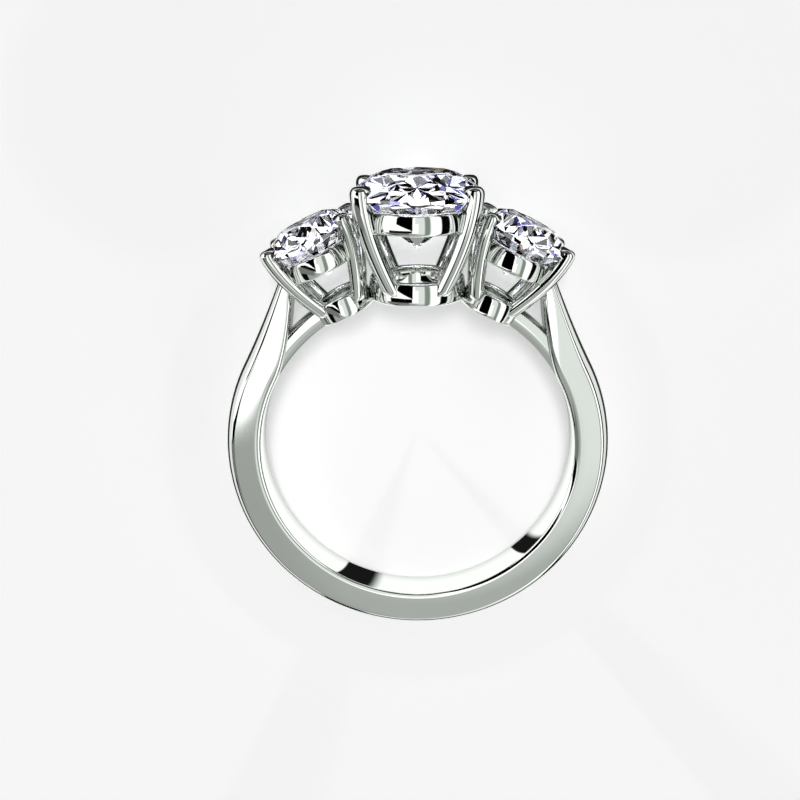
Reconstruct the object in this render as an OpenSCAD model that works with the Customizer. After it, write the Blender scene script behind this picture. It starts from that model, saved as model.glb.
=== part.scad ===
// Three stone ring: an oval brilliant in a four prong basket between two smaller ovals,
// on a plain half-round shank with open cathedral shoulders. Sizes are in millimetres.
// The ring lies on its side as it rests on a table. The origin is the centre of the
// finger hole, and +Y runs from it towards the centre stone.

/* [Finger hole and shank] */
// Radius of the finger hole
hole_r = 8.25; // [7.4:0.05:10.4]
// Thickness of the shank, from the finger hole outwards
shank_t = 1.9; // [1.5:0.05:2.6]
// Width of the shank along the finger
shank_w = 2.3; // [1.8:0.05:3]
// Width of the flat inner wall of the shank
shank_flat_w = 1.8; // [1:0.05:2]
// Height of the rounded outer side of the shank
shank_dome_h = 0.55; // [0.4:0.05:1.2]
// Depth of the rounding along the inner edges of the shank
shank_round = 0.25; // [0.1:0.05:0.4]

/* [Shoulders] */
// Angle from the bottom of the ring at which a shoulder leaves the circle
shoulder_start = 117; // [110:1:122]
// Thickness of a shoulder at its tip
shoulder_tip_t = 0.45; // [0.35:0.05:0.8]
// Width of a shoulder at its tip
shoulder_tip_w = 1.6; // [1:0.05:2]
// Height of the rounded outer side of a shoulder at its tip
shoulder_tip_dome = 0.3; // [0.1:0.05:0.4]
// Depth of the rounding along the inner edges of a shoulder
shoulder_round = 0.45; // [0.2:0.05:0.5]
// How far the inner line of a shoulder runs on straight before it curves in
shoulder_inner_reach = 2.1; // [1:0.05:3]
// How far the outer line of a shoulder runs on straight before it curves in
shoulder_outer_reach = 2.6; // [1:0.05:3.5]
// How far a shoulder's tip sinks in from the outer side of the side head's rail
shoulder_tip_in = 0.55; // [0.2:0.05:0.7]
// How far a shoulder's tip is over the middle of that rail
shoulder_tip_up = 0.3; // [0:0.05:0.5]
// How much higher the outer line of a shoulder ends
shoulder_tip_rise = 0.1; // [0:0.05:0.3]

/* [Bridges] */
// Thickness of the bridge from each shoulder to the side head's foot
bridge_t = 0.95; // [0.6:0.05:1.2]
// Width of a bridge along the finger
bridge_w = 1.8; // [1.2:0.05:2.2]
// Width of a bridge's flat inner wall
bridge_flat_w = 1.45; // [1:0.05:1.8]
// Depth of the rounding along the inner edges of a bridge
bridge_round = 0.5; // [0.2:0.05:0.55]

/* [Centre stone] */
// Width of the centre stone across the finger
centre_w = 6.7; // [6:0.05:7]
// Length of the centre stone along the finger
centre_l = 9.2; // [8:0.05:10]
// Height of the centre stone's crown, from girdle to table
centre_crown = 0.95; // [0.7:0.05:1.1]
// Depth of the centre stone's pavilion, from girdle to culet
centre_pavilion = 2.7; // [2.2:0.05:2.9]
// Height of the centre stone's girdle over the finger hole
centre_seat_h = 5.05; // [4.8:0.05:5.6]

/* [Side stones] */
// Width of a side stone across the finger
side_w = 4.8; // [4.2:0.05:5]
// Length of a side stone along the finger
side_l = 6.7; // [5.6:0.05:7.2]
// Height of a side stone's crown
side_crown = 0.8; // [0.5:0.05:0.9]
// Depth of a side stone's pavilion
side_pavilion = 2.05; // [1.7:0.05:2.2]
// Height of a side stone's girdle over the finger hole
side_seat_h = 4.05; // [3.8:0.05:4.4]
// How far a side head's foot ring runs into the centre one
head_lap = 0.295; // [0.2:0.005:0.4]

/* [Stone cut] */
// Thickness of each girdle
girdle_t = 0.2; // [0.15:0.01:0.3]
// Width of the table, as a share of the stone's width
table_share = 0.57; // [0.5:0.01:0.65]
// Gap between a stone and the metal round it
stone_gap = 0.03; // [0.02:0.01:0.06]

/* [Heads] */
// Width of the centre head's foot ring
centre_foot_w = 5; // [4.9:0.05:5.3]
// Length of the centre head's foot ring along the finger
centre_foot_l = 6.1; // [5.6:0.05:7]
// Width of a side head's foot ring
side_foot_w = 3.1; // [3:0.05:3.3]
// Length of a side head's foot ring along the finger
side_foot_l = 4.3; // [4:0.05:5]
// Height of each foot ring
foot_h = 1.05; // [0.8:0.05:1.3]
// Wall of each foot ring
foot_wall = 0.6; // [0.4:0.05:0.8]
// Height of each gallery rail
rail_h = 1.05; // [0.7:0.05:1.3]
// Wall of each gallery rail
rail_wall = 0.68; // [0.5:0.02:0.8]
// How far a gallery rail's top lies under the girdle
rail_drop = 0.5; // [0.3:0.05:0.7]
// How far a gallery rail's outer wall stands in from the girdle
rail_inset = 0.45; // [0.3:0.05:0.6]
// Edge rounding of foot rings and gallery rails
rail_round = 0.13; // [0.05:0.01:0.2]

/* [Prongs] */
// Width of a centre prong, from corner to corner
centre_prong_w = 0.98; // [0.7:0.02:1]
// Width of a side prong, from corner to corner
side_prong_w = 0.78; // [0.56:0.02:0.8]
// Place of a centre prong's tip round the girdle, from the middle of the stone's long side
centre_tip_angle = 38; // [30:1:50]
// Place of a centre prong's foot round the foot ring
centre_foot_angle = 58; // [40:1:65]
// How far out a centre prong is at its bend, from 0 over the foot to 1 under the tip
centre_prong_bend = 1; // [0.5:0.01:1.2]
// Place of a side prong's tip round the girdle, from the middle of the stone's long side
side_tip_angle = 35; // [30:1:50]
// Place of a side prong's foot round the foot ring
side_foot_angle = 46; // [40:1:65]
// How far out a side prong is at its bend, from 0 over the foot to 1 under the tip
side_prong_bend = 1.05; // [0.5:0.01:1.2]
// Height of the bend, from 0 at the prong's foot to 1 at its tip
prong_bend_h = 0.6; // [0.4:0.05:0.8]
// How far a prong's middle stands out from the girdle
prong_out = 0.13; // [0.05:0.01:0.2]
// How far a prong rises over the girdle
prong_rise = 0.5; // [0.35:0.05:0.7]
// How far a prong's tip leans in over the stone
prong_hook = 0.3; // [0.1:0.05:0.4]

/* [Hidden] */
$fn = 96;

shank_r = hole_r + shank_t;
seam = 0.1; // what a piece sinks into its neighbour so that they are one casting
foot_z = hole_r - seam;

// A side head leans until its foot ring laps the centre one
side_lean = atan(centre_foot_w / 2 / foot_z) + atan(side_foot_w / 2 / foot_z) - head_lap / foot_z * 180 / PI;

// Each head as [stone width, length, crown, pavilion, girdle height, foot width, foot length,
// prong width, prong angle at the girdle, prong angle at the foot, share of the way out at the bend]
function head_w(head) = head[0];
function head_l(head) = head[1];
function head_crown(head) = head[2];
function head_pavilion(head) = head[3];
function head_seat(head) = head[4];
function head_foot_w(head) = head[5];
function head_foot_l(head) = head[6];
function head_prong_w(head) = head[7];
function head_tip_angle(head) = head[8];
function head_foot_angle(head) = head[9];
function head_bend(head) = head[10];
CENTRE = [centre_w, centre_l, centre_crown, centre_pavilion, hole_r + centre_seat_h,
    centre_foot_w, centre_foot_l, centre_prong_w,
    centre_tip_angle, centre_foot_angle, centre_prong_bend];
SIDE = [side_w, side_l, side_crown, side_pavilion, hole_r + side_seat_h,
    side_foot_w, side_foot_l, side_prong_w,
    side_tip_angle, side_foot_angle, side_prong_bend];

// The ring rests on the centre stone's girdle and on the shank's far edge
rest_tilt = atan((centre_l - shank_w) / 2 / (head_seat(CENTRE) + shank_r - shank_dome_h));

// Points and faces of solids that are skinned over a row of outlines with n points each
function wall_faces(rows, n, closed) = [
    for (k = [0:rows - (closed ? 1 : 2)], i = [0:n - 1], half = [0, 1])
        let (a = k * n + i, b = k * n + (i + 1) % n, up = (k + 1) % rows - k)
        half == 0 ? [a, b + up * n, b] : [a, a + up * n, b + up * n]
];
function cap_faces(rows, n) = [
    [for (i = [0:n - 1]) i],
    [for (i = [n - 1:-1:0]) (rows - 1) * n + i]
];
module skin(rows) {
    n = len(rows[0]);
    polyhedron([for (row = rows) each row],
        concat(cap_faces(len(rows), n), wall_faces(len(rows), n, false)), convexity = 8);
}
module closed_skin(rows) {
    polyhedron([for (row = rows) each row], wall_faces(len(rows), len(rows[0]), true), convexity = 8);
}

// Half-round section as [distance out from the inner wall, place along the finger]
function bar_section(t, w, flat_w, dome, edge) = concat(
    [for (a = [0, 45, 90]) [edge * (1 - cos(a)), -flat_w / 2 - (w - flat_w) / 2 * sin(a)]],
    [for (a = [-90:22.5:90]) [t - dome + dome * cos(a), w / 2 * sin(a)]],
    [for (a = [90, 45, 0]) [edge * (1 - cos(a)), flat_w / 2 + (w - flat_w) / 2 * sin(a)]]
);
// A section stood between an inner and an outer point of the ring's plane
function bar_row(inner, outer, w, flat_w, dome, edge) =
    let (t = norm(outer - inner), out = (outer - inner) / t)
    [for (p = bar_section(t, w, flat_w, dome, edge))
        [inner.x + out.x * p.x, p.y, inner.y + out.y * p.x]];
function bend(a, b, c, s) = a * (1 - s) * (1 - s) + b * 2 * s * (1 - s) + c * s * s;
function mix(a, b, s) = a + (b - a) * s;
// Point of the ring's plane at an angle from the bottom
function on_circle(r, angle) = [r * sin(angle), -r * cos(angle)];
function on_side(points, side) = [for (p = points) [side * p.x, p.y, p.z]];

// Shank and shoulders
shank_steps = 26;
shoulder_steps = 6;
softer_from = 0.4; // share of the shank after which its inner edges get rounder
tip_flat_inset = 0.4; // how much narrower than its width a shoulder's tip is at its inner wall
tip_round = 0.2; // depth of the rounding along the inner edges of a tip
taper = 3; // 1 narrows a shoulder evenly, more leaves most of it to the tip
inner_r = hole_r - seam;
// The shoulder's tip seats on the outer end of the side head's rail
rail_end = head_w(SIDE) / 2 - rail_inset;
rail_mid = head_seat(SIDE) - rail_drop - rail_h / 2;
function in_side_head(out, up) =
    [out * cos(side_lean) + up * sin(side_lean), up * cos(side_lean) - out * sin(side_lean)];
tip_inner = in_side_head(rail_end - shoulder_tip_in, rail_mid + shoulder_tip_up);
tip_outer = tip_inner + [shoulder_tip_t, shoulder_tip_rise];
start_dir = [cos(shoulder_start), sin(shoulder_start)];
function shoulder_inner(s) =
    bend(on_circle(inner_r, shoulder_start),
        on_circle(inner_r, shoulder_start) + shoulder_inner_reach * start_dir, tip_inner, s);
function shoulder_outer(s) =
    bend(on_circle(shank_r, shoulder_start),
        on_circle(shank_r, shoulder_start) + shoulder_outer_reach * start_dir, tip_outer, s);
function shank_row(angle) =
    bar_row(on_circle(inner_r, angle), on_circle(shank_r, angle), shank_w, shank_flat_w,
        shank_dome_h,
        mix(shank_round, shoulder_round, max(0, angle / shoulder_start - softer_from)) + seam);
function shoulder_row(s) =
    bar_row(shoulder_inner(s), shoulder_outer(s), mix(shank_w, shoulder_tip_w, pow(s, taper)),
        mix(shank_flat_w, shoulder_tip_w - tip_flat_inset, s), mix(shank_dome_h, shoulder_tip_dome, s),
        mix(shoulder_round + seam, tip_round, s));
function half_band() = concat(
    [for (k = [0:shank_steps]) shank_row(shoulder_start * k / shank_steps)],
    [for (k = [1:shoulder_steps]) shoulder_row(k / shoulder_steps)]
);
module shank() {
    rows = half_band();
    last = len(rows) - 1;
    skin(concat([for (k = [last:-1:1]) on_side(rows[k], -1)], rows));
}

// Bridge along the finger hole from the shoulder to the side head's foot
bridge_steps = 6;
bridge_lap = 2.8; // degrees past the shoulder's start, inside the shoulder
bridge_dome = 0.15;
module bridge(side) {
    from = shoulder_start + bridge_lap;
    to = 180 - side_lean - asin((side_foot_w / 2 - foot_wall) / hole_r);
    rows = [for (k = [0:bridge_steps])
        let (angle = mix(from, to, k / bridge_steps))
        bar_row(on_circle(inner_r, angle), on_circle(hole_r + bridge_t, angle), bridge_w,
            bridge_flat_w, bridge_dome, bridge_round + seam)];
    mirror([side < 0 ? 1 : 0, 0, 0]) skin(rows);
}

// Oval band with softened edges, from its outer half sizes
band_steps = 40;
function oval(a, b, angle) = [a * cos(angle), b * sin(angle)];
function oval_normal(a, b, angle) = let (v = [b * cos(angle), a * sin(angle)]) v / norm(v);
module oval_band(a, b, wall, z, h) {
    e = rail_round;
    section = [[e, 0], [wall - e, 0], [wall, e], [wall, h - e], [wall - e, h], [e, h], [0, h - e], [0, e]];
    closed_skin([for (k = [0:band_steps - 1])
        let (angle = 360 * k / band_steps, p = oval(a, b, angle), n = oval_normal(a, b, angle))
        [for (q = section) [p.x - n.x * q.x, p.y - n.y * q.x, z + q.y]]]);
}

// Square prong with soft corners that rises from the foot ring and bends up past the girdle
prong_steps = 5;
prong_corners = 12;
softness = 1.8; // 1 has sharp corners and straight sides, 2 is round
hook_sharpness = 6;
cap_start = 0.93; // share of the prong's length at which its cap's bevel starts
cap_bevel = 0.22;
function prong_reach(angle) =
    pow(pow(abs(cos(angle)), softness) + pow(abs(sin(angle)), softness), -1 / softness);
function prong_row(middle, half, hook, z) =
    let (inwards = -middle / norm(middle))
    [for (k = [0:prong_corners - 1])
        let (angle = 360 * k / prong_corners,
            dir = [cos(angle), sin(angle)],
            lean = hook * max(0, dir * inwards),
            p = middle + dir * half * prong_reach(angle) + inwards * lean)
        [p.x, p.y, z]];
function prong_rows(h) =
    let (
        half = head_prong_w(h) / 2,
        top = head_seat(h) + girdle_t + prong_rise,
        low = foot_z + foot_h / 2,
        foot = oval((head_foot_w(h) - foot_wall) / 2, (head_foot_l(h) - foot_wall) / 2, head_foot_angle(h)),
        tip = oval(head_w(h) / 2 + prong_out, head_l(h) / 2 + prong_out, head_tip_angle(h)),
        knee = mix(foot, tip, head_bend(h)),
        knee_z = mix(low, top, prong_bend_h)
    )
    concat(
        [for (k = [0:prong_steps])
            let (s = cap_start * k / prong_steps, z = bend(low, knee_z, top, s))
            prong_row(bend(foot, knee, tip, s), half, prong_hook * pow(s, hook_sharpness), z)],
        [prong_row(tip, half - cap_bevel, prong_hook, top)]
    );
module prong(h) skin(prong_rows(h));

// Basket of one head: foot ring, gallery rail and four prongs
module head(h) {
    oval_band(head_foot_w(h) / 2, head_foot_l(h) / 2, foot_wall, foot_z, foot_h + seam);
    oval_band(head_w(h) / 2 - rail_inset, head_l(h) / 2 - rail_inset, rail_wall,
        head_seat(h) - rail_drop - rail_h, rail_h);
    for (x = [0, 1], y = [0, 1]) mirror([x, 0, 0]) mirror([0, y, 0]) prong(h);
}

// Oval brilliant: table, 8 star, 8 kite and 16 upper facets over the girdle,
// 16 lower facets and 8 mains under it. grow makes the pocket that it sits in.
star_share = 0.76; // how far out the stars reach
lower_share = 0.24; // how close to the culet the lower facets reach
half_step = 11.25; // half the angle between two of the 16 girdle corners
function stone_points(h, grow) =
    let (
        a = head_w(h) / 2 + grow,
        b = head_l(h) / 2 + grow,
        top = head_seat(h) + girdle_t + grow,
        low = head_seat(h) - grow,
        crown = head_crown(h),
        pavilion = head_pavilion(h),
        step = 4 * half_step,
        star_z = crown * (1 - star_share * cos(step / 2)) / (1 - table_share),
        lower_z = pavilion * (1 - lower_share * cos(step / 2)),
        chord = cos(half_step),
        dip = (1 - chord) * star_z / (chord - star_share * chord),
        lift = (1 - chord) * lower_z / (chord - lower_share * chord)
    )
    concat(
        [for (k = [0:7]) concat(table_share * oval(a, b, k * step), top + crown)],
        [for (k = [0:7]) concat(star_share * oval(a, b, (k + 0.5) * step), top + star_z)],
        [for (k = [0:31]) concat(oval(a, b, k * half_step), top - (k % 2) * dip)],
        [for (k = [0:31]) concat(oval(a, b, k * half_step), low + (k % 2) * lift)],
        [for (k = [0:7]) concat(lower_share * oval(a, b, (k + 0.5) * step), low - lower_z)],
        [[0, 0, low - pavilion]]
    );
STARS = 8;
UPPER = 16;
LOWER = 48;
TIPS = 80;
CULET = 88;
STONE_FACES = concat(
    [[for (k = [7:-1:0]) k]],
    [for (k = [0:7]) [k, (k + 1) % 8, STARS + k]],
    [for (k = [0:7]) [k, STARS + k, UPPER + 4 * k, STARS + (k + 7) % 8]],
    [for (k = [0:7]) [STARS + k, UPPER + 4 * k + 2, UPPER + 4 * k + 1, UPPER + 4 * k]],
    [for (k = [0:7]) [STARS + k, UPPER + (4 * k + 4) % 32, UPPER + 4 * k + 3, UPPER + 4 * k + 2]],
    [for (k = [0:31]) [UPPER + k, UPPER + (k + 1) % 32, LOWER + (k + 1) % 32, LOWER + k]],
    [for (k = [0:7]) [TIPS + k, LOWER + 4 * k, LOWER + 4 * k + 1, LOWER + 4 * k + 2]],
    [for (k = [0:7]) [TIPS + k, LOWER + 4 * k + 2, LOWER + 4 * k + 3, LOWER + (4 * k + 4) % 32]],
    [for (k = [0:7]) [CULET, TIPS + (k + 7) % 8, LOWER + 4 * k, TIPS + k]]
);
module stone(h, grow = 0) polyhedron(stone_points(h, grow), STONE_FACES, convexity = 4);

// Heads in their places round the finger hole, upright
module at_side(side) rotate([0, side * side_lean, 0]) children();
module laid_down() rotate([rest_tilt - 90, 0, 0]) children();

module castings() {
    shank();
    head(CENTRE);
    for (side = [-1, 1]) {
        bridge(side);
        at_side(side) head(SIDE);
    }
}
module pockets() {
    stone(CENTRE, stone_gap);
    for (side = [-1, 1]) at_side(side) stone(SIDE, stone_gap);
}

// The castings are joined as one mesh at their own size, and the finger hole is then bored through it
module ring_mount() color("gainsboro") laid_down() difference() {
    resize([0, 0, 0]) difference() {
        castings();
        pockets();
    }
    rotate([90, 0, 0]) cylinder(r = hole_r, h = 4 * shank_r, center = true);
}
module centre_stone() color("aliceblue") laid_down() stone(CENTRE);
module left_stone() color("aliceblue") laid_down() at_side(-1) stone(SIDE);
module right_stone() color("aliceblue") laid_down() at_side(1) stone(SIDE);

ring_mount();
centre_stone();
left_stone();
right_stone();
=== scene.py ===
# %% [markdown]
# # A three stone ring in polished white gold
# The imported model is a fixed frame: it says where everything is and how large. This lesson lays
# finer metal over it, gives its stones a diamond finish, and lights it like a jeweller's product
# photograph. The ring lies on its side, so every shape is first worked out upright, in millimetres,
# the way a jeweller draws it: X across the finger, Y along the finger, Z from the finger to the stones.

# %% Load the frame
import math

import bpy
import numpy as np
from mathutils import Matrix, Vector
from mathutils.bvhtree import BVHTree


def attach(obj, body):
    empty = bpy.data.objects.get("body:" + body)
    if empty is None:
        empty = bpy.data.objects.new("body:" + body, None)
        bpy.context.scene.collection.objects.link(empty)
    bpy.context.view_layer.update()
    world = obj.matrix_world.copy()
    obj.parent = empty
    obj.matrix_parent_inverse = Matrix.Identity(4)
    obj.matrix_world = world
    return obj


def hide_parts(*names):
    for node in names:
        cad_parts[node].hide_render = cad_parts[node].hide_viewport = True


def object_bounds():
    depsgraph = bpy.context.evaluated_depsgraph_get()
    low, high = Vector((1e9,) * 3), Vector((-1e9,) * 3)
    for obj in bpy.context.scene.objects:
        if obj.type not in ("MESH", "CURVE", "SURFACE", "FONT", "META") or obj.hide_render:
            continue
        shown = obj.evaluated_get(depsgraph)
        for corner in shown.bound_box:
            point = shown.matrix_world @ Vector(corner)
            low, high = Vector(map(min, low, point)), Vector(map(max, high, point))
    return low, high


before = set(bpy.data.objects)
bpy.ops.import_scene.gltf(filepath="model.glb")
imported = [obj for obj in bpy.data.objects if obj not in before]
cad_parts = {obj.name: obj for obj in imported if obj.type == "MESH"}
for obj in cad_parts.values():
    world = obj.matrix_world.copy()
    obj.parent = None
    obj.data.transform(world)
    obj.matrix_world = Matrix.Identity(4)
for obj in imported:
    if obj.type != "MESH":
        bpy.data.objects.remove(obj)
cad_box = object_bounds()
print("CAD box, mm:", [[round(v * 1000, 2) for v in corner] for corner in cad_box])

# %% [markdown]
# ## Sizes
# The casting is drawn again from the same measures as the CAD solid, so the finer metal lies on it.
# Booleans join metal best where each part runs a little way into the next one, so the foot rings and
# the bridges reach SEAM into the finger hole, which is cut clean at the end.

# %% Shank, shoulders and bridges, in millimetres
HOLE_R = 8.25  # finger hole
SHANK_T, SHANK_W = 1.9, 2.3  # wall and width
SHANK_R = HOLE_R + SHANK_T
SHANK_FLAT_W, SHANK_EDGE = 2.0, 0.27  # flat on the finger, rounding beside it
DOME_H = 0.55  # how far the outside is domed
SHOULDER_START = 117.0  # degrees from the bottom, where the bar leaves the circle
SHOULDER_FLAT_W, SHOULDER_EDGE = 1.75, 0.42
SOFTEN_FROM = 0.4  # share of the way to the shoulder where the inner edges begin to soften
INNER_REACH, OUTER_REACH = 2.1, 2.6  # how far each side goes straight on before it bends to the tip
TIP_T, TIP_W, TIP_DOME, TIP_EDGE = 0.45, 1.6, 0.3, 0.2
TIP_FLAT_LESS = 0.4  # how much narrower the flat is than the tip
TIP_IN, TIP_UP, TIP_RISE = 0.55, 0.3, 0.1  # how the tip sits in the side stone's rail
SEAM = 0.1
BRIDGE_T, BRIDGE_W, BRIDGE_FLAT_W = 0.95, 1.8, 1.45
BRIDGE_EDGE, BRIDGE_DOME = 0.6, 0.15
BRIDGE_LAP = 3.0  # degrees past the shoulder's start
print("the shank is", SHANK_W, "mm wide and", SHANK_T, "mm thick")

# %% Heads and stones, in millimetres
FOOT_Z, FOOT_H, FOOT_WALL = HOLE_R - SEAM, 1.05, 0.6
RAIL_H, RAIL_WALL = 1.05, 0.68
RAIL_DROP, RAIL_INSET = 0.5, 0.45  # below the girdle, and inside it
BAND_ROUND, BAND_BULGE, BAND_LEAN = 0.13, 0.05, 0.07
PRONG_OUT, PRONG_RISE, PRONG_HOOK = 0.13, 0.5, 0.3  # past the girdle, over it, and in over the stone
PRONG_BEND_H = 0.6  # height of the bend, as a share of the prong
PRONG_SOFTNESS = 1.8  # 2 is a round prong, 1 a square one on its corner
HOOK_TAPER = 6  # the higher, the later the hook starts
CAP_FROM, CAP_BEVEL = 0.91, 0.3
GIRDLE_T, STONE_GAP = 0.2, 0.03
HEAD_LAP = 0.295  # how far a side head's foot ring runs into the centre one
CENTRE = dict(w=6.7, l=9.2, crown=0.95, pavilion=2.7, seat=HOLE_R + 5.05, foot_w=5.0, foot_l=6.1,
              prong=0.98, tip_angle=38, foot_angle=58, bend=1.0)
SIDE = dict(w=4.8, l=6.7, crown=0.8, pavilion=2.05, seat=HOLE_R + 4.05, foot_w=3.1, foot_l=4.3,
            prong=0.78, tip_angle=35, foot_angle=46, bend=1.05)
SIDE_LEAN = math.degrees(math.atan(CENTRE["foot_w"] / 2 / FOOT_Z) + math.atan(SIDE["foot_w"] / 2 / FOOT_Z)
                         - HEAD_LAP / FOOT_Z)
print("the side heads lean", round(SIDE_LEAN, 2), "degrees")

# %% [markdown]
# ## How the ring lies
# It rests on the shank's edge and on the prongs of the centre stone, which is longer than the shank
# is wide, so the finger hole isn't quite level. One matrix lays every upright shape down the same way.

# %% How the ring lies
REST_TILT = math.atan((CENTRE["l"] - SHANK_W) / 2 / (CENTRE["seat"] + SHANK_R - DOME_H))
LAY = Matrix.Rotation(REST_TILT - math.pi / 2, 4, "X")
TO_METRES = Matrix.Scale(0.001, 4)
print("the ring leans", round(math.degrees(REST_TILT), 2), "degrees on the table")

# %% [markdown]
# ## The camera
# The photograph's view is that of a 50 mm lens about 60 mm in front of the finger hole and 19
# degrees over the finger. The camera is laid down with the ring, so it now looks from above.

# %% Camera
CAMERA_DISTANCE, CAMERA_RISE, CAMERA_PAN, CAMERA_TILT = 59.64, 19.15, 0.89, 2.34
rise = math.radians(CAMERA_RISE)
stand = Matrix.Translation((0, -CAMERA_DISTANCE * math.cos(rise), CAMERA_DISTANCE * math.sin(rise)))
turn = (Matrix.Rotation(math.pi / 2 - rise, 4, "X") @ Matrix.Rotation(math.radians(CAMERA_PAN), 4, "Y")
        @ Matrix.Rotation(math.radians(CAMERA_TILT), 4, "X"))
lens = bpy.data.cameras.new("camera")
lens.lens, lens.sensor_width = 50, 36
lens.clip_start, lens.clip_end = 0.002, 5
camera = bpy.data.objects.new("camera", lens)
placed = LAY @ stand @ turn
placed.translation = placed.translation * 0.001
camera.matrix_world = placed
bpy.context.scene.collection.objects.link(camera)
bpy.context.scene.camera = camera
print("the camera is", round(placed.translation.z * 1000, 1), "mm over the finger hole's middle")

# %% [markdown]
# ## Helpers for sweeping metal
# A shank, a rail and a prong are all one outline carried along a path. `skin` joins a row of
# outlines with quads and closes the ends, which gives a clean closed mesh for the joining later.
# A modelled curve with a bevel would be quicker, but its outline couldn't change along the way.


# %% Sweep helpers
def blend(a, b, share):
    return a + (b - a) * share


def curve_point(a, b, c, s):
    """A point of the smooth curve from a to c that aims at b."""
    return a * (1 - s) ** 2 + b * 2 * s * (1 - s) + c * s * s


def on_circle(radius, degrees):
    """A point of the ring's plane, at an angle from the bottom of the ring."""
    return np.array([radius * math.sin(math.radians(degrees)), -radius * math.cos(math.radians(degrees))])


def arc(middle, half, start, end, steps):
    """Points of a rounded corner, which is part of an ellipse."""
    angles = np.radians(np.linspace(start, end, steps + 1))
    return np.stack([middle[0] + half[0] * np.cos(angles), middle[1] + half[1] * np.sin(angles)], 1)


def skin(rows, closed=False):
    """(points, faces) of a closed solid over a row of outlines."""
    rows = np.asarray(rows)
    count, n = rows.shape[:2]
    faces = []
    for k in range(count if closed else count - 1):
        a, b = k * n, (k + 1) % count * n
        faces += [(a + i, a + (i + 1) % n, b + (i + 1) % n, b + i) for i in range(n)]
    if not closed:
        faces += [tuple(range(n))[::-1], tuple(range((count - 1) * n, count * n))]
    return rows.reshape(-1, 3), faces


def placed_object(name, data):
    """A new object in the scene, for a mesh or a lamp."""
    thing = bpy.data.objects.new(name, data)
    bpy.context.scene.collection.objects.link(thing)
    return thing


def solid(name, shape, lean=0.0):
    """A mesh object in the frame of the CAD, in metres, with every face turned outwards."""
    points, faces = shape
    turned = TO_METRES @ LAY @ Matrix.Rotation(math.radians(lean), 4, "Y")
    mesh = bpy.data.meshes.new(name)
    mesh.from_pydata([turned @ Vector(p) for p in points], [], faces)
    mesh.validate()
    volume = 0.0
    for corners in (face.vertices for face in mesh.polygons):
        first = mesh.vertices[corners[0]].co
        for k in range(1, len(corners) - 1):
            a, b = mesh.vertices[corners[k]].co, mesh.vertices[corners[k + 1]].co
            volume += first.dot(a.cross(b))
    if volume < 0:
        mesh.flip_normals()
    mesh.shade_smooth()
    return placed_object(name, mesh)


print("helpers ready")

# %% [markdown]
# ## Shank and shoulders
# A caster makes the shank as one half-round bar: a flat wall on the finger, softened inner edges, flat
# sides and a domed outside. Past the widest point it splits off the circle and tapers up to the side
# stone's rail, which is the open cathedral shoulder. Sweeping one changing outline makes all of it.

# %% Shank
EDGE_STEPS, DOME_STEPS = 10, 44
SHANK_STEP, SHOULDER_STEPS = 1.5, 25  # degrees, and outlines


def bar_row(inner, outer, w, flat_w, dome, edge):
    """One half-round outline of the bar, from its point on the finger to its point on the outside."""
    t = float(np.linalg.norm(outer - inner))
    out = (outer - inner) / t
    corner = (w - flat_w) / 2
    outline = np.concatenate([
        arc((edge, -flat_w / 2), (-edge, -corner), 0, 90, EDGE_STEPS),
        arc((t - dome, 0), (dome, w / 2), -90, 90, DOME_STEPS),
        arc((edge, flat_w / 2), (-edge, corner), 90, 0, EDGE_STEPS)])
    return [(inner[0] + out[0] * p, q, inner[1] + out[1] * p) for p, q in outline]


def in_side_head(out, up):
    """A point of the ring's plane, from its place in the right side head before it leans."""
    c, s = math.cos(math.radians(SIDE_LEAN)), math.sin(math.radians(SIDE_LEAN))
    return np.array([out * c + up * s, up * c - out * s])


start_way = np.array([math.cos(math.radians(SHOULDER_START)), math.sin(math.radians(SHOULDER_START))])
rail_end = SIDE["w"] / 2 - RAIL_INSET
rail_middle = SIDE["seat"] - RAIL_DROP - RAIL_H / 2
tip_inner = in_side_head(rail_end - TIP_IN, rail_middle + TIP_UP)
tip_outer = tip_inner + np.array([TIP_T, TIP_RISE])
leave_inner, leave_outer = on_circle(HOLE_R, SHOULDER_START), on_circle(SHANK_R, SHOULDER_START)
half_rows = []
for angle in np.arange(0, SHOULDER_START, SHANK_STEP):
    softer = max(0.0, angle / SHOULDER_START - SOFTEN_FROM) / (1 - SOFTEN_FROM)
    half_rows.append(bar_row(on_circle(HOLE_R, angle), on_circle(SHANK_R, angle), SHANK_W,
                             blend(SHANK_FLAT_W, SHOULDER_FLAT_W, softer), DOME_H,
                             blend(SHANK_EDGE, SHOULDER_EDGE, softer)))
for s in np.linspace(0, 1, SHOULDER_STEPS):
    half_rows.append(bar_row(curve_point(leave_inner, leave_inner + INNER_REACH * start_way, tip_inner, s),
                             curve_point(leave_outer, leave_outer + OUTER_REACH * start_way, tip_outer, s),
                             blend(SHANK_W, TIP_W, s ** 3),
                             blend(SHOULDER_FLAT_W, TIP_W - TIP_FLAT_LESS, s ** 2),
                             blend(DOME_H, TIP_DOME, s), blend(SHOULDER_EDGE, TIP_EDGE, s)))
half_rows = np.array(half_rows)
other_side = half_rows[:0:-1] * np.array([-1, 1, 1])
shank = solid("shank", skin(np.concatenate([other_side, half_rows])))
print("shank:", len(shank.data.polygons), "faces")

# %% [markdown]
# ## Bridges
# A short curved bar closes the finger hole between each shoulder and the side stone's foot ring.
# It is the same kind of bar as the shank, so it is swept from the same outline.

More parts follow.
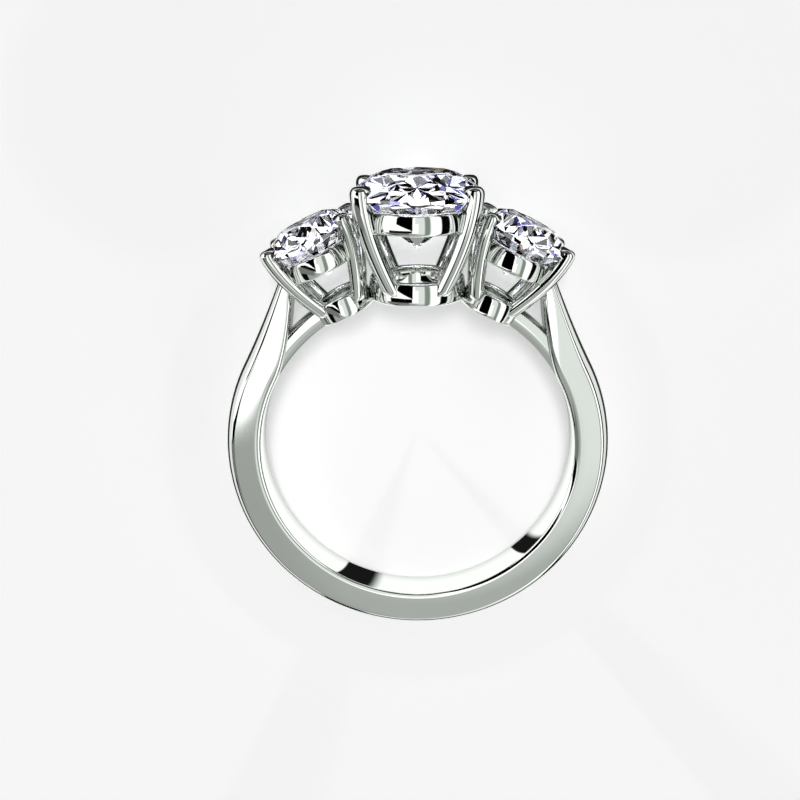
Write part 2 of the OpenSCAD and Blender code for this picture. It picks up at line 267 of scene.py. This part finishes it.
# %% Bridges
BRIDGE_STEPS = 24
bridges = []
foot_reach = math.degrees(math.asin((SIDE["foot_w"] / 2 - FOOT_WALL) / HOLE_R))
for side in (-1, 1):
    rows = [bar_row(on_circle(HOLE_R - SEAM, angle), on_circle(HOLE_R + BRIDGE_T, angle), BRIDGE_W,
                    BRIDGE_FLAT_W, BRIDGE_DOME, BRIDGE_EDGE)
            for angle in np.linspace(SHOULDER_START + BRIDGE_LAP, 180 - SIDE_LEAN - foot_reach, BRIDGE_STEPS)]
    bridges.append(solid("bridge", skin(np.array(rows) * np.array([side, 1, 1]))))
print("bridges:", [len(b.data.polygons) for b in bridges])

# %% [markdown]
# ## Foot rings and gallery rails
# Each basket is two oval wires. They are barrelled a little on the outside by filing and polishing,
# which bends the reflections in them, so the outline bulges by a twentieth of a millimetre.

# %% Oval bands
BAND_STEPS, CORNER_STEPS, BULGE_STEPS = 160, 5, 9


def oval_band(a, b, wall, z, h):
    """An oval wire with rounded edges, from its outer half sizes."""
    e = BAND_ROUND
    bulge_rows = np.linspace(h - e, e, BULGE_STEPS)[1:-1]
    outline = np.concatenate([
        arc((e, e), (-e, -e), 0, 90, CORNER_STEPS), arc((wall - e, e), (e, -e), 90, 0, CORNER_STEPS),
        arc((wall - e, h - e), (e, e), 0, 90, CORNER_STEPS), arc((e, h - e), (-e, e), 90, 0, CORNER_STEPS),
        np.stack([np.zeros_like(bulge_rows), bulge_rows], 1)])
    outer = outline[:, 0] < wall / 2
    outline[:, 0] += outer * (BAND_BULGE * (outline[:, 1] / h * 2 - 1) ** 2 + BAND_LEAN * outline[:, 1] / h)
    angles = np.radians(np.arange(BAND_STEPS) * 360 / BAND_STEPS)
    ways = np.stack([b * np.cos(angles), a * np.sin(angles)], 1)
    ways /= np.linalg.norm(ways, axis=1)[:, None]
    middles = np.stack([a * np.cos(angles), b * np.sin(angles)], 1)
    rows = [[(m[0] - n[0] * p, m[1] - n[1] * p, z + q) for p, q in outline] for m, n in zip(middles, ways)]
    return skin(rows, closed=True)


print("one oval band has", BAND_STEPS, "outlines")

# %% [markdown]
# ## Prongs
# Each prong is a square wire with softened corners, one corner facing out. It rises from the foot
# ring, bends up past the girdle and ends in a rounded cap that leans in over the stone to hold it.

# %% Prongs
PRONG_CORNERS, PRONG_STEPS, CAP_STEPS = 40, 25, 9


def prong_row(middle, half, hook, z):
    """One outline of a prong, drawn out towards the stone by the hook."""
    inwards = -middle / np.linalg.norm(middle)
    angles = np.arange(PRONG_CORNERS) * 2 * math.pi / PRONG_CORNERS
    ways = np.stack([np.cos(angles), np.sin(angles)], 1)
    spread = (np.abs(ways) ** PRONG_SOFTNESS).sum(1) ** (-1 / PRONG_SOFTNESS)
    lean = hook * np.maximum(0, ways @ inwards)
    points = middle + ways * (half * spread)[:, None] + inwards * lean[:, None]
    return [(x, y, z) for x, y in points]


def on_oval(a, b, degrees):
    return np.array([a * math.cos(math.radians(degrees)), b * math.sin(math.radians(degrees))])


def prong(h):
    """The outlines of a head's prong, from the middle of the foot ring to the top of its cap."""
    half, low, top = h["prong"] / 2, FOOT_Z + FOOT_H / 2, h["seat"] + GIRDLE_T + PRONG_RISE
    foot = on_oval((h["foot_w"] - FOOT_WALL) / 2, (h["foot_l"] - FOOT_WALL) / 2, h["foot_angle"])
    tip = on_oval(h["w"] / 2 + PRONG_OUT, h["l"] / 2 + PRONG_OUT, h["tip_angle"])
    knee, knee_z = blend(foot, tip, h["bend"]), blend(low, top, PRONG_BEND_H)
    rows = [prong_row(curve_point(foot, knee, tip, s), half, PRONG_HOOK * s ** HOOK_TAPER,
                      curve_point(low, knee_z, top, s))
            for s in np.linspace(0, CAP_FROM, PRONG_STEPS)]
    last, last_z = curve_point(foot, knee, tip, CAP_FROM), rows[-1][0][2]
    for turned in np.radians(np.linspace(0, 90, CAP_STEPS)[1:]):
        up, shrink = math.sin(turned), CAP_BEVEL * (1 - math.cos(turned))
        rows.append(prong_row(blend(last, tip, up), half - shrink,
                              PRONG_HOOK * blend(CAP_FROM ** HOOK_TAPER, 1, up), blend(last_z, top, up)))
    return np.array(rows)


print("one prong has", PRONG_STEPS + CAP_STEPS - 1, "outlines of", PRONG_CORNERS, "points")

# %% [markdown]
# ## Heads
# A head is a foot ring, a rail and four prongs. The side heads are the same, leaning outwards. One
# prong is drawn, and its mirror images are the other three, which is how a wax carver works too.


# %% Heads
def head(name, h, lean):
    """The parts of one head."""
    foot = oval_band(h["foot_w"] / 2, h["foot_l"] / 2, FOOT_WALL, FOOT_Z, FOOT_H + SEAM)
    rail = oval_band(h["w"] / 2 - RAIL_INSET, h["l"] / 2 - RAIL_INSET, RAIL_WALL,
                     h["seat"] - RAIL_DROP - RAIL_H, RAIL_H)
    rows = prong(h)
    prongs = [skin(rows * np.array([x, y, 1])) for x in (-1, 1) for y in (-1, 1)]
    return [solid(name, shape, lean) for shape in [foot, rail] + prongs]


HEADS = (("left", SIDE, -SIDE_LEAN), ("centre", CENTRE, 0), ("right", SIDE, SIDE_LEAN))
heads = [part for name, h, lean in HEADS for part in head(name + "_head", h, lean)]
print("heads:", len(heads), "parts,", sum(len(p.data.polygons) for p in heads), "faces")

# %% [markdown]
# ## The finger hole and the stones' seats
# A setter bores the hole round and cuts a seat under each stone. The seats are the stones themselves,
# grown by the 0.03 mm of air that keeps a stone from cracking when the metal is closed on it.
# The cut is an oval brilliant: eight sides, with four girdle facets to each.

# %% Stones as solids
TABLE, STAR, LOWER = 0.57, 0.76, 0.24  # where the facets meet, as shares of the way to the girdle
SIDE_STEP, GIRDLE_STEP = 45.0, 11.25  # degrees


def stone_shape(h, grow):
    """(points, faces) of an oval brilliant, grown on all sides."""
    a, b = h["w"] / 2 + grow, h["l"] / 2 + grow
    top, low = h["seat"] + GIRDLE_T + grow, h["seat"] - grow
    half_side, chord = math.cos(math.radians(SIDE_STEP / 2)), math.cos(math.radians(GIRDLE_STEP))
    star_z = h["crown"] * (1 - STAR * half_side) / (1 - TABLE)
    lower_z = h["pavilion"] * (1 - LOWER * half_side)
    dip = (1 - chord) * star_z / (chord - STAR * chord)
    lift = (1 - chord) * lower_z / (chord - LOWER * chord)

    def at(share, degrees, z):
        r = math.radians(degrees)
        return (share * a * math.cos(r), share * b * math.sin(r), z)

    points = [at(TABLE, k * SIDE_STEP, top + h["crown"]) for k in range(8)]
    points += [at(STAR, (k + 0.5) * SIDE_STEP, top + star_z) for k in range(8)]
    points += [at(1, k * GIRDLE_STEP, top - (k % 2) * dip) for k in range(32)]
    points += [at(1, k * GIRDLE_STEP, low + (k % 2) * lift) for k in range(32)]
    points += [at(LOWER, (k + 0.5) * SIDE_STEP, low - lower_z) for k in range(8)]
    points += [(0, 0, low - h["pavilion"])]
    stars, girdle_top, girdle_low, lowers, culet = 8, 16, 48, 80, 88
    faces = [tuple(range(8))]
    for k in range(8):
        table, star, lower = (k + 1) % 8, stars + k, lowers + k
        star_before, lower_before = stars + (k + 7) % 8, lowers + (k + 7) % 8
        g, g_next = girdle_top + 4 * k, girdle_top + (4 * k + 4) % 32
        u, u_next = girdle_low + 4 * k, girdle_low + (4 * k + 4) % 32
        faces += [(star, table, k), (star_before, g, star, k), (g, g + 1, g + 2, star),
                  (g + 2, g + 3, g_next, star), (u + 2, u + 1, u, lower), (u_next, u + 3, u + 2, lower),
                  (lower, u, lower_before, culet)]
    faces += [(girdle_low + k, girdle_low + (k + 1) % 32, girdle_top + (k + 1) % 32, girdle_top + k)
              for k in range(32)]
    return np.array(points), faces


seats = [solid(name + "_seat", stone_shape(h, STONE_GAP), lean) for name, h, lean in HEADS]
print("seats:", [len(seat.data.polygons) for seat in seats], "faces")

# %% Finger hole
BORE_HALF = 6.0
bore_rows = [[(HOLE_R * math.cos(t), y, HOLE_R * math.sin(t)) for t in np.radians(np.arange(0, 360, 1.0))]
             for y in (-BORE_HALF, BORE_HALF)]
bore = solid("bore", skin(bore_rows))
print("the hole is", 2 * HOLE_R, "mm across")

# %% [markdown]
# ## One casting
# On the real ring the parts are soldered and polished into one piece, so boolean modifiers join
# them. The manifold solver is the quickest one, and every part here is closed, as that solver asks.


# %% Join the metal
def boolean(piece, others, operation):
    """Adds the others to the piece, or cuts them from it."""
    for other in others:
        step = piece.modifiers.new("join", "BOOLEAN")
        step.operation, step.solver, step.object = operation, "MANIFOLD", other
    result = bpy.data.meshes.new_from_object(piece.evaluated_get(bpy.context.evaluated_depsgraph_get()))
    piece.modifiers.clear()
    piece.data = result


basket = placed_object("basket", heads[0].data.copy())
boolean(basket, heads[1:] + bridges, "UNION")
boolean(basket, [bore], "DIFFERENCE")
casting = placed_object("casting", shank.data.copy())
boolean(casting, [basket], "UNION")
boolean(casting, seats, "DIFFERENCE")
print("casting:", len(casting.data.polygons), "faces")

# %% [markdown]
# ## Normals for a mirror finish
# Joining leaves thin triangles along each seam, and polished metal shows every one of them. The
# cure is to look up each corner's normal on the part that it came from. A bevel or a remesh would
# hide the seams too, but it would also round off the crisp line where two parts meet.

# %% Parts to look normals up on
sources = []
for part in [shank] + bridges + heads + seats + [bore]:
    part.data.calc_loop_triangles()
    points = [v.co.copy() for v in part.data.vertices]
    corners = [tuple(t.vertices) for t in part.data.loop_triangles]
    sources.append({
        "tree": BVHTree.FromPolygons(points, corners), "points": points, "corners": corners,
        "normals": [v.normal.copy() for v in part.data.vertices],
        "faceted": part in seats, "cuts": part in seats or part is bore,
        "low": np.min(points, 0) - 1e-5, "high": np.max(points, 0) + 1e-5, "part": part})
print("parts to look up:", len(sources))

# %% Smooth normals
SAME_SURFACE = 3e-6  # metres: a face this near to a part came from it
FOLDED_BACK = 0.3  # a corner's normal turned further than this from its face isn't trusted


def source_normal(source, point):
    """A part's normal at its nearest point to this one, and how far away that is."""
    place, _, index, gap = source["tree"].find_nearest(point)
    a, b, c = (source["points"][i] for i in source["corners"][index])
    area = (b - a).cross(c - a)
    if source["faceted"]:
        return area.normalized(), gap
    whole = max(area.length_squared, 1e-30)
    share_b = (place - a).cross(c - a).dot(area) / whole
    share_c = (b - a).cross(place - a).dot(area) / whole
    na, nb, nc = (source["normals"][i] for i in source["corners"][index])
    return (na * (1 - share_b - share_c) + nb * share_b + nc * share_c).normalized(), gap


def source_of(face):
    """The part whose surface a face of the casting lies on, or None."""
    centre, facing = face.center, face.normal
    best, best_score = None, math.inf
    for source in sources:
        low, high = source["low"], source["high"]
        if any(centre[i] < low[i] or centre[i] > high[i] for i in range(3)):
            continue
        normal, gap = source_normal(source, centre)
        score = gap * 1e6 - abs(normal.dot(facing))
        if gap < SAME_SURFACE and score < best_score:
            best, best_score = source, score
    return best


mesh = casting.data
normals = [Vector((0, 0, 1))] * len(mesh.loops)
for face in mesh.polygons:
    source = source_of(face)
    for k in face.loop_indices:
        normals[k] = face.normal.copy()
        if source:
            normal = source_normal(source, mesh.vertices[mesh.loops[k].vertex_index].co)[0]
            normal = -normal if source["cuts"] else normal
            if normal.dot(face.normal) > FOLDED_BACK:
                normals[k] = normal
mesh.shade_smooth()
mesh.normals_split_custom_set(normals)
for part in [source["part"] for source in sources] + [basket]:
    bpy.data.objects.remove(part)
print("normals set on", len(normals), "corners")

# %% [markdown]
# ## Finishes
# Colours are picked as sRGB hex values, as from a colour card, and nodes want linear light. One
# function turns them, and one more adds a node with its settings and links.


# %% Material helpers
def srgb(code, strength=1.0):
    """Linear RGBA from an sRGB hex value, brighter or darker by the strength."""
    parts = [int(code[i:i + 2], 16) / 255 for i in (1, 3, 5)]
    linear = [p / 12.92 if p <= 0.04045 else ((p + 0.055) / 1.055) ** 2.4 for p in parts]
    return tuple(p * strength for p in linear) + (1.0,)


def add(tree, kind, settings=None, links=None):
    """Adds a node, fills in its settings and sockets, and links its inputs."""
    node = tree.nodes.new(kind)
    for key, value in (settings or {}).items():
        if isinstance(key, int) or key in node.inputs:
            node.inputs[key].default_value = value
        else:
            setattr(node, key, value)
    for key, source in (links or {}).items():
        tree.links.new(source, node.inputs[key])
    return node


def new_material(name):
    material = bpy.data.materials.new(name)
    material.use_nodes = True
    material.node_tree.nodes.clear()
    return material, material.node_tree


MIX_A, MIX_B = 6, 7  # a colour mix node's two colour sockets
print("white in linear light:", srgb("#FFFFFF"))

# %% [markdown]
# ## Rhodium plated white gold
# Cast, filed, polished on felt wheels and plated. Rhodium is a bright, slightly warm grey metal. What
# the wheels leave is a waviness under two millimetres wide, and hair lines of a few thousandths that
# no one sees one by one. The hair lines are drawn wider, so that they vary the sheen a little.
# Metal keeps the default IOR.

# %% White gold
WAVE_MM, HAIR_MM = 1.6, 0.12
gold, tree = new_material("polished_rhodium_plated_white_gold")
where = add(tree, "ShaderNodeTexCoord").outputs["Object"]
waves = add(tree, "ShaderNodeTexNoise", {"Scale": 1000 / WAVE_MM, "Detail": 1.0}, {"Vector": where})
hairs = add(tree, "ShaderNodeTexNoise", {"Scale": 1000 / HAIR_MM, "Detail": 2.0}, {"Vector": where})
polish = add(tree, "ShaderNodeMapRange", {"From Min": 0.3, "From Max": 0.7, "To Min": 0.035, "To Max": 0.06},
             {"Value": hairs.outputs["Fac"]})
tone = add(tree, "ShaderNodeMix", {"data_type": "RGBA", MIX_A: srgb("#E2E5E1"), MIX_B: srgb("#E8EAE7")},
           {"Factor": waves.outputs["Fac"]})
dent = add(tree, "ShaderNodeBump", {"Strength": 0.02, "Distance": 0.00005}, {"Height": waves.outputs["Fac"]})
metal = add(tree, "ShaderNodeBsdfPrincipled", {"Metallic": 1.0},
            {"Base Color": tone.outputs[2], "Roughness": polish.outputs["Result"],
             "Normal": dent.outputs["Normal"]})
add(tree, "ShaderNodeOutputMaterial", {}, {"Surface": metal.outputs["BSDF"]})
casting.data.materials.clear()
casting.data.materials.append(gold)
print("the casting is", gold.name)

# %% [markdown]
# ## Diamond
# Cut and polished crystal, so no roughness at all. Its IOR of 2.42 bends light so much that most of
# it turns round inside and comes back out of the top, which makes the black and white facets. A real
# one has faint clouds of colour in it, drawn here as a tint that hardly shows. The CAD stones have
# the right facets already, so they stay, with flat shading and this finish.

# %% Diamond
CLOUD_MM = 1.2
STONES = ("centre_stone", "left_stone", "right_stone")
diamond, tree = new_material("faceted_polished_diamond")
where = add(tree, "ShaderNodeTexCoord").outputs["Object"]
cloud = add(tree, "ShaderNodeTexNoise", {"Scale": 1000 / CLOUD_MM, "Detail": 1.0}, {"Vector": where})
tint = add(tree, "ShaderNodeMix", {"data_type": "RGBA", MIX_A: srgb("#FFFFFF"), MIX_B: srgb("#F6F7FF")},
           {"Factor": cloud.outputs["Fac"]})
crystal = add(tree, "ShaderNodeBsdfPrincipled", {"Roughness": 0.0, "IOR": 2.417, "Transmission Weight": 1.0},
              {"Base Color": tint.outputs[2]})
add(tree, "ShaderNodeOutputMaterial", {}, {"Surface": crystal.outputs["BSDF"]})
for name in STONES:
    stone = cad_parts[name]
    stone.data.materials.clear()
    stone.data.materials.append(diamond)
    stone.visible_shadow = False
    for face in stone.data.polygons:
        face.material_index = 0
        face.use_smooth = False
print("stones:", [len(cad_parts[name].data.polygons) for name in STONES], "faces")

# %% [markdown]
# ## Floor
# In the photograph the floor is one even pale grey, as on a table that is lit from below. So the
# matt white sheet under the ring glows a little of its own, and a soft shadow still shows on it.

# %% Floor
FLOOR_HALF = 1.5


def flat_sheet(name, half, z):
    """A square sheet of paper or card that lies flat."""
    sheet = bpy.data.meshes.new(name)
    sheet.from_pydata([(x * half, y * half, z) for x, y in ((-1, -1), (1, -1), (1, 1), (-1, 1))],
                      [], [(0, 1, 2, 3)])
    return placed_object(name, sheet)


floor_z = cad_box[0].z
floor = flat_sheet("floor", FLOOR_HALF, floor_z)
paper, tree = new_material("matt_white_paper")
matt = add(tree, "ShaderNodeBsdfPrincipled", {"Base Color": srgb("#F4F4F4"), "Roughness": 0.9,
                                              "Emission Color": srgb("#F8F8F8"), "Emission Strength": 0.46})
add(tree, "ShaderNodeOutputMaterial", {}, {"Surface": matt.outputs["BSDF"]})
floor.data.materials.append(paper)
floor.visible_transmission = False
print("the floor is at", round(floor_z * 1000, 2), "mm")

# %% [markdown]
# ## Light tent
# Polished metal has no look of its own: it shows what stands round it. A jeweller's photographer
# hangs a white tent over the ring, with grey and black cards in it where the metal should go dark.
# The world's background is that tent. Each card has its place in degrees: round the ring from the
# front, to the right, and up from the finger's line towards the stones.

# %% Directions in the tent
bpy.context.scene.view_settings.view_transform = "Standard"
world = bpy.data.worlds.new("tent")
bpy.context.scene.world = world
world.use_nodes = True
tent = world.node_tree
tent.nodes.clear()


def degrees_round(tree, direction, front_axis, front_sign):
    """Degrees round an upright direction, from the axis that counts as the front."""
    upright = add(tree, "ShaderNodeVectorRotate",
                  {"rotation_type": "X_AXIS", "Angle": math.pi / 2 - REST_TILT}, {"Vector": direction})
    parts = add(tree, "ShaderNodeSeparateXYZ", {}, {"Vector": upright.outputs["Vector"]})
    front = add(tree, "ShaderNodeMath", {"operation": "MULTIPLY", 1: front_sign},
                {0: parts.outputs[front_axis]})
    angle = add(tree, "ShaderNodeMath", {"operation": "ARCTAN2"},
                {0: parts.outputs["X"], 1: front.outputs[0]})
    scaled = add(tree, "ShaderNodeMath", {"operation": "MULTIPLY", 1: 180 / math.pi}, {0: angle.outputs[0]})
    return scaled.outputs[0], parts


looking = add(tent, "ShaderNodeTexCoord")
round_degrees, look_parts = degrees_round(tent, looking.outputs["Generated"], "Y", -1.0)
climb = add(tent, "ShaderNodeMath", {"operation": "ARCSINE"}, {0: look_parts.outputs["Z"]})
climbed = add(tent, "ShaderNodeMath", {"operation": "MULTIPLY", 1: 180 / math.pi}, {0: climb.outputs[0]})
up_degrees = climbed.outputs[0]
print("directions need", len(tent.nodes), "nodes")


# %% Hanging the cards
def between(tree, value, low, high, fade_in, fade_out):
    """1 from low to high and 0 further out, with a soft start and a soft end."""
    enter = add(tree, "ShaderNodeMapRange", {"interpolation_type": "SMOOTHSTEP", "From Min": low - fade_in,
                                             "From Max": low}, {"Value": value})
    leave = add(tree, "ShaderNodeMapRange", {"interpolation_type": "SMOOTHSTEP", "From Min": high,
                                             "From Max": high + fade_out, "To Min": 1.0, "To Max": 0.0},
                {"Value": value})
    return add(tree, "ShaderNodeMath", {"operation": "MULTIPLY"},
               {0: enter.outputs["Result"], 1: leave.outputs["Result"]}).outputs[0]


WHITE, TENT, GREY, BLACK = "#FFFFFF", "#FAFFFB", "#A8B2A8", "#101210"
# place round the ring, place up, slope, soft sides, soft top and bottom, colour, strength
CARDS = (
    ((-180, -7), (-90, -19), 0, 17, 2.5, TENT, 0.43),  # the left half of the shank goes grey
    ((-100, -8), (-16.3, 90), 0, 4, 1.8, WHITE, 1.5),  # the left shoulder stays white
    ((-12, 3), (-16.3, 4), 0, 1, 1.8, WHITE, 1.5),  # so does its inner side
    ((45, 150), (-60, 70), 0, 12, 12, WHITE, 1.5),  # the soft box on the right
    ((-2, 20), (-90, -28), 0, 8, 9, TENT, 0.5),  # the shank's lower right
    ((-180, 180), (38, 90), 0, 3, 3, BLACK, 0.3),  # dark edges on the prongs' caps
    ((-180, 180), (50, 90), 0, 3, 3, "#E4E8E4", 0.2),  # grey tops on them
    ((-180, 180), (76, 90), 0, 3, 3, BLACK, 0.5),  # nothing for the stones to mirror
    ((157, 200), (2, 34), 0, 3, 3, BLACK, 0.3),  # nor behind them
    ((-200, -157), (2, 34), 0, 3, 3, BLACK, 0.3),
    ((24, 34), (-50, 30), 0, 5, 5, GREY, 0.7),  # a grey streak down each prong and rail
    ((68, 86), (-50, 34), 0, 4, 4, BLACK, 0.3),  # and a black one at its right side
    ((-85, -25), (-27, -16), 0, 5, 1.5, TENT, 0.22),  # the foot rings' left sides
    ((-56, -13), (-12.6, 50), 0.26, 1, 0.7, "#050505", 0.02),  # the black wedge in the rails
    ((-75, -15), (-16, -10), 0, 2, 1, "#050505", 0.02),  # and its foot
    ((-120, -60), (-60, -28), 0, 6, 2, BLACK, 0.3))  # the left prongs' outer edges
TENT_STRENGTH = 0.95
light = None
for around, up, slope, soft, soft_up, code, strength in CARDS:
    sloping = add(tent, "ShaderNodeMath", {"operation": "MULTIPLY", 1: slope}, {0: round_degrees})
    height = add(tent, "ShaderNodeMath", {"operation": "ADD"}, {0: up_degrees, 1: sloping.outputs[0]})
    inside = add(tent, "ShaderNodeMath", {"operation": "MULTIPLY"},
                 {0: between(tent, round_degrees, *around, soft, soft),
                  1: between(tent, height.outputs[0], *up, soft_up, soft_up)})
    layer = add(tent, "ShaderNodeMix",
                {"data_type": "RGBA", MIX_A: srgb(TENT, TENT_STRENGTH), MIX_B: srgb(code, strength)},
                {"Factor": inside.outputs[0]})
    if light:  # each card hangs in front of the ones before it
        tent.links.new(light, layer.inputs[MIX_A])
    light = layer.outputs[2]
print("cards in the tent:", len(CARDS))

# %% [markdown]
# ## What the stones see
# Under a bare white tent a diamond renders as plain glass. A real one is lit by many small lamps
# and windows, and its facets pick them out one by one. So light that has gone through a stone meets
# a tent in patches of white, blue, tan and black, which no other ray sees. The cell texture makes
# such patches: each has one flat colour, and a ramp with steps sets the share of each.

# %% Patches for the stones
PATCHES = 4.2  # across the tent's radius
# where each colour starts on the ramp, the colour and its strength
PATCH_COLOURS = ((0.0, "#FFFFFF", 2.4), (0.5, "#020204", 0.5), (0.59, "#F0F0FF", 1.8),
                 (0.83, "#7B7FE8", 0.9), (0.87, "#020204", 0.5), (0.91, "#B4B6C4", 0.9),
                 (0.97, "#E8C9B0", 1.0))
cells = add(tent, "ShaderNodeTexVoronoi", {"Scale": PATCHES, "Randomness": 1.0},
            {"Vector": looking.outputs["Generated"]})
pick = add(tent, "ShaderNodeSeparateColor", {}, {"Color": cells.outputs["Color"]})
choice = add(tent, "ShaderNodeValToRGB", {}, {"Fac": pick.outputs["Red"]})
ramp = choice.color_ramp
ramp.interpolation = "CONSTANT"
for place, code, strength in PATCH_COLOURS:
    stop = ramp.elements[0] if place == 0.0 else ramp.elements.new(place)
    stop.color = srgb(code, strength)
ramp.elements.remove(ramp.elements[-1])
print("patches have", len(ramp.elements), "colours")

# %% [markdown]
# ## Who sees which
# A light path node tells the rays apart. What comes out of a stone meets the patches, and all other
# mirrored light meets the cards. The floor glows already, so the tent lights it at a quarter. The
# camera sees none of this, only a plain pale background.

# %% Finish the tent
DIFFUSE_LOSS = 0.75
ray = add(tent, "ShaderNodeLightPath")
seen = add(tent, "ShaderNodeMix", {"data_type": "RGBA"},
           {"Factor": ray.outputs["Is Transmission Ray"], MIX_A: light, MIX_B: choice.outputs["Color"]})
loss = add(tent, "ShaderNodeMath", {"operation": "MULTIPLY", 1: DIFFUSE_LOSS},
           {0: ray.outputs["Is Diffuse Ray"]})
left_over = add(tent, "ShaderNodeMath", {"operation": "SUBTRACT", 0: 1.0}, {1: loss.outputs[0]})
inside_tent = add(tent, "ShaderNodeBackground", {},
                  {"Color": seen.outputs[2], "Strength": left_over.outputs[0]})
backdrop = add(tent, "ShaderNodeBackground", {"Color": srgb("#F8F8F8"), "Strength": 1.0})
either = add(tent, "ShaderNodeMixShader", {}, {0: ray.outputs["Is Camera Ray"], 1: inside_tent.outputs[0],
                                               2: backdrop.outputs[0]})
add(tent, "ShaderNodeOutputWorld", {}, {"Surface": either.outputs[0]})
print("the tent has", len(tent.nodes), "nodes")

# %% [markdown]
# ## Two lamps
# The tent alone leaves no shadow. A soft lamp above makes the grey one inside the shank and under
# the heads, and a much softer one beyond the stones fills it. The metal doesn't mirror the lamps.

# %% Lamps
# name, strength, how many degrees wide it looks, and the way to it
LAMPS = (("key", 1.0, 12.0, (0.0, 0.19, 1.0)), ("fill", 0.2, 35.0, (-0.05, 0.9, 1.0)))
for name, strength, width, way in LAMPS:
    sun = bpy.data.lights.new(name, "SUN")
    sun.energy, sun.angle = strength, math.radians(width)
    lamp = placed_object(name, sun)
    lamp.rotation_mode = "QUATERNION"
    lamp.rotation_quaternion = Vector(way).to_track_quat("Z", "Y")
    lamp.visible_glossy = False
print("lamps:", [lamp[0] for lamp in LAMPS])

# %% [markdown]
# ## The glowing card under the ring
# A plain white floor would fill every backward facing surface with the same white. So a sheet that glows
# lies under the piece, and only mirrored light can see it: it paints reflections into the metal. It is
# white inside the finger hole, grey and then black under the shank, and white again further out. Black
# discs beyond the stones keep their facets crisp, and two black wedges paint the inner wall's dark
# streaks. The camera and the light that goes through the stones miss it.

# %% Under card
UNDER_HALF, UNDER_LIFT = 0.06, 2e-5
under = flat_sheet("glowing_under_card", UNDER_HALF, floor_z + UNDER_LIFT)
under.visible_camera = under.visible_diffuse = under.visible_shadow = under.visible_transmission = False
# painted reflections: this card glows, and only the metal's mirrored light sees it, not the camera
card, tree = new_material("glowing_reflection_card")
spot = add(tree, "ShaderNodeTexCoord").outputs["Object"]


def paint(value):
    """A neutral grey with the tent's slight green."""
    return (value, value * 1.03, value, 1.0)


# x, y, radius and soft edge in millimetres, and the grey: each is painted over the ones before
DISCS = ((0, 0, 14.2, 0.4, 0.04), (0, 0, 10.4, 0.5, 0.3), (0, 0, 8.0, 0.6, 1.25),
         (0, 30, 19, 0.8, 0.02), (-14, 18, 8, 0.8, 0.02), (14, 18, 8, 0.8, 0.02))
# start, end and soft end in degrees from the bottom of the ring
WEDGES = ((-27.1, -17.0, 5.0), (38.9, 45.5, 3.0))
WEDGE_START = 0.8
CARD_WHITE, WEDGE_BLACK = (0.95, 0.97, 0.95, 1.0), 0.01
masks = []
for x, y, radius, soft, value in DISCS:
    away = add(tree, "ShaderNodeVectorMath",
               {"operation": "DISTANCE", 1: (x / 1000, y / 1000, floor_z)}, {0: spot})
    mask = add(tree, "ShaderNodeMapRange",
               {"interpolation_type": "SMOOTHSTEP", "From Min": (radius - soft) / 1000,
                "From Max": (radius + soft) / 1000, "To Min": 1.0, "To Max": 0.0},
               {"Value": away.outputs["Value"]})
    masks.append((mask.outputs["Result"], value))
from_bottom = degrees_round(tree, spot, "Z", -1.0)[0]
for start, end, fade in WEDGES:
    masks.append((between(tree, from_bottom, start, end, WEDGE_START, fade), WEDGE_BLACK))
shade = None
for mask, value in masks:
    layer = add(tree, "ShaderNodeMix", {"data_type": "RGBA", MIX_A: CARD_WHITE, MIX_B: paint(value)},
                {"Factor": mask})
    if shade:
        tree.links.new(shade, layer.inputs[MIX_A])
    shade = layer.outputs[2]
glow = add(tree, "ShaderNodeEmission", {"Strength": 1.0}, {"Color": shade})
add(tree, "ShaderNodeOutputMaterial", {}, {"Surface": glow.outputs[0]})
under.data.materials.append(card)
print("the card has", len(DISCS), "discs and", len(WEDGES), "wedges")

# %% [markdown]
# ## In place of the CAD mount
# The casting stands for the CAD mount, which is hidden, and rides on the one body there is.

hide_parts("ring_mount")
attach(casting, "root")
print("pieces:", casting.name, "and", ", ".join(STONES))
